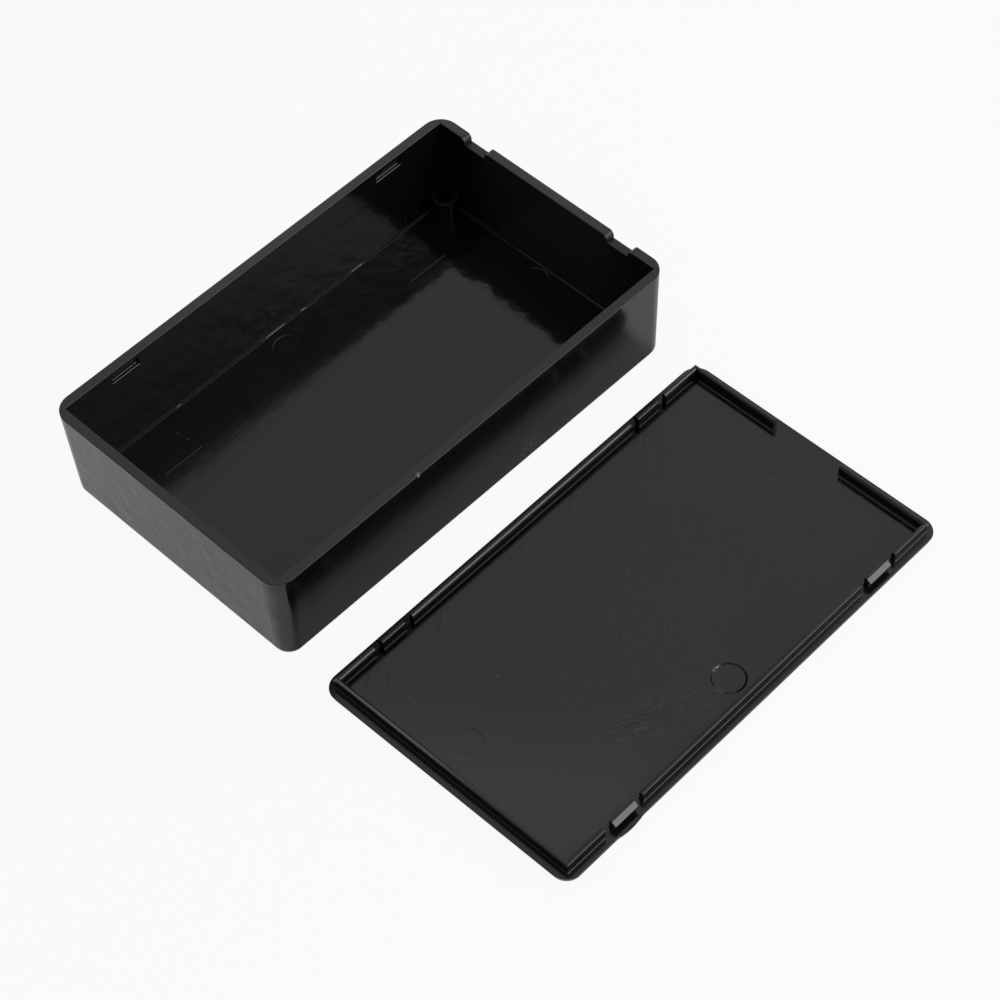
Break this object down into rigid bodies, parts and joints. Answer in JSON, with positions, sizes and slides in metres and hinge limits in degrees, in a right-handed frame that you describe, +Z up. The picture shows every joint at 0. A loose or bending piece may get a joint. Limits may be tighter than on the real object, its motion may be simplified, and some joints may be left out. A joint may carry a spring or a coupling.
{
  "type": "plastic project box",
  "caption": "Open rectangular plastic electronics enclosure with corner bosses and rim notches, and its press-fit lid lying beside it inner side up.",
  "frame": {"origin": "centre of the shell's underside, on the surface that it stands on", "axes": "+X along the shell towards its notched end, +Y across it away from the lid, +Z up"},
  "size_m": [0.1003, 0.1278, 0.023],
  "materials": {
    "shell_plastic": "black ABS, semi-gloss",
    "lid_plastic": "black ABS, semi-gloss"
  },
  "bodies": {
    "root": {"box_shell": "shell_plastic", "snap_lid": "lid_plastic"}
  },
  "joints": []
}
